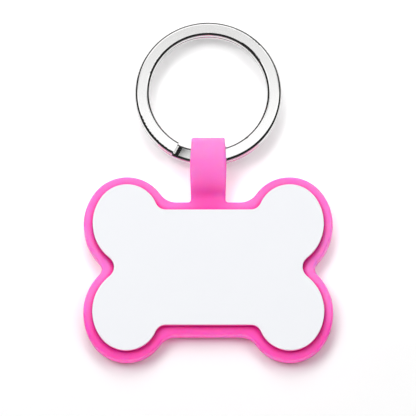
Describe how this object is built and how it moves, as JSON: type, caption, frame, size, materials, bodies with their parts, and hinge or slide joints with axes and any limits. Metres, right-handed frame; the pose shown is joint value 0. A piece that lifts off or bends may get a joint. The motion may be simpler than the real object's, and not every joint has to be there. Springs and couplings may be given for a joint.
{
  "type": "pet id tag",
  "caption": "Bone-shaped pet tag: a soft moulded tray with a ring eye, a white plate bonded in its pocket and a split ring that swings in the eye.",
  "frame": {"origin": "middle of the tray's flat back face, which lies on the surface below", "axes": "+X across the bone, +Y from the tray to the ring, +Z out of the plate's face"},
  "size_m": [0.0506, 0.0704, 0.0065],
  "materials": {
    "silicone": "matt pink silicone, slightly translucent",
    "plate_coat": "smooth white coating, satin",
    "adhesive": "milky adhesive film",
    "nickel": "polished nickel plating with faint drawing lines"
  },
  "bodies": {
    "tag": {"bone_body": "silicone", "id_plate": "plate_coat", "adhesive_pad": "adhesive"},
    "ring": {"split_ring": "nickel"}
  },
  "joints": [
    {"name": "ring_swing", "type": "hinge", "parent": "tag", "child": "ring", "pos_m": [0, 0.02321, 0.00325], "axis": [1, 0, 0], "range_deg": [-122, 152]}
  ]
}
